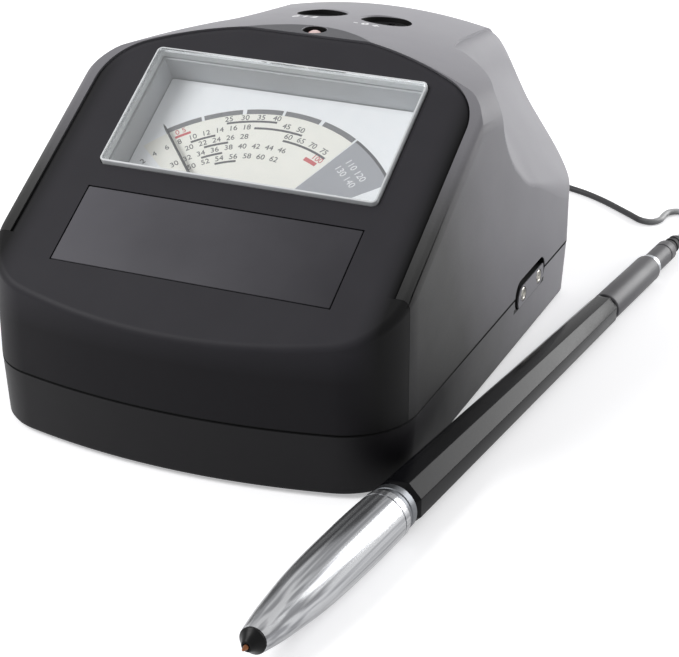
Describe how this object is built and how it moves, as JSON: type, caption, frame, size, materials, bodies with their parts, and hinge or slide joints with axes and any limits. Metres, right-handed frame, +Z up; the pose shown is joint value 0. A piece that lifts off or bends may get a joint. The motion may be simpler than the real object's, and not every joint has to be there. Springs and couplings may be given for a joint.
{
  "type": "diamond tester",
  "caption": "Bench-top thermal gem tester: wedge housing with a slanted needle meter, two recessed knobs and a lamp, and a heated probe pen on a cord.",
  "frame": {"origin": "on the bench, under the middle of the box that the housing and its probe pen fill together", "axes": "+X to the right of the person reading the meter, +Y to the rear, +Z up"},
  "size_m": [0.1406, 0.3196, 0.0904],
  "materials": {
    "black_housing": "fine satin moulding",
    "grey_housing": "fine satin moulding",
    "panel_grey": "satin",
    "clear_window": "polished clear",
    "meter_grey": "matte",
    "dial_white": "matte print",
    "needle_black": "matte",
    "knob_black": "satin",
    "lamp_pink": "diffused lens",
    "steel": "satin",
    "plated_contact": "nickel plated",
    "brass": "satin",
    "copper_tip": "worn bright copper",
    "cell_jacket": "printed sleeve",
    "circuit_board": "lacquered",
    "rubber": "matte",
    "cord_rubber": "satin",
    "gloss_black": "polished",
    "satin_grey": "satin",
    "chrome_trim": "mirror polish"
  },
  "bodies": {
    "housing": {"base_tray": "grey_housing", "case_screw_1": "steel", "case_screw_2": "steel", "case_screw_3": "steel", "case_screw_4": "steel", "rubber_foot_1": "rubber", "rubber_foot_2": "rubber", "rubber_foot_3": "rubber", "rubber_foot_4": "rubber", "front_cover": "black_housing", "rear_cover": "grey_housing", "battery_box": "black_housing", "battery_contact_front": "plated_contact", "battery_contact_rear": "plated_contact", "battery_cell_1": "cell_jacket", "battery_cell_2": "cell_jacket", "battery_cell_3": "cell_jacket", "battery_cell_4": "cell_jacket", "main_board": "circuit_board", "board_screw_1": "steel", "board_screw_2": "steel", "board_screw_3": "steel", "board_screw_4": "steel", "meter_lens": "clear_window", "name_panel": "panel_grey", "meter_case": "meter_grey", "dial_plate": "dial_white", "meter_magnet": "steel", "meter_core": "steel", "meter_bridge": "brass", "power_switch": "steel", "calibrate_potentiometer": "steel", "control_board": "circuit_board", "ready_lamp": "lamp_pink", "lamp_holder": "black_housing", "test_plate": "grey_housing", "test_disc_1": "steel", "test_disc_2": "steel", "dc_jack": "black_housing", "cord_gland": "cord_rubber", "tip_insulator": "gloss_black", "tip_spring": "steel", "chrome_nose": "chrome_trim", "heater_rod": "steel", "nose_ring": "gloss_black", "probe_barrel": "gloss_black", "probe_collar": "satin_grey", "tail_ring": "chrome_trim", "tail_sleeve": "satin_grey", "tail_strain_relief": "cord_rubber", "probe_lead": "cord_rubber", "cord_coil": "cord_rubber", "cord_to_probe": "cord_rubber", "cord_to_housing": "cord_rubber"},
    "needle": {"meter_needle": "needle_black", "moving_coil": "brass"},
    "power_dial": {"power_knob": "knob_black"},
    "calibrate_dial": {"calibrate_knob": "knob_black"},
    "battery_hatch": {"battery_door": "grey_housing"},
    "sensing_tip": {"probe_tip": "copper_tip"}
  },
  "joints": [
    {"name": "needle_swing", "type": "hinge", "parent": "housing", "child": "needle", "pos_m": [-0.01227, -0.02891, 0.0573], "axis": [0, -0.5069, 0.862], "range_deg": [-90, 0], "stiffness_Nm_per_rad": 0.0005},
    {"name": "power_turn", "type": "hinge", "parent": "housing", "child": "power_dial", "pos_m": [-0.02207, 0.05961, 0.08697], "axis": [0, 0.1392, 0.9903], "range_deg": [-270, 0]},
    {"name": "calibrate_turn", "type": "hinge", "parent": "housing", "child": "calibrate_dial", "pos_m": [-0.00247, 0.05961, 0.08697], "axis": [0, 0.1392, 0.9903], "range_deg": [-135, 135]},
    {"name": "battery_hatch_slide", "type": "slide", "parent": "housing", "child": "battery_hatch", "axis": [0, 1, 0], "range_m": [0, 0.06]},
    {"name": "tip_press", "type": "slide", "parent": "housing", "child": "sensing_tip", "axis": [0.0896, 0.9959, -0.0138], "range_m": [0, 0.001], "stiffness_N_per_m": 600}
  ]
}
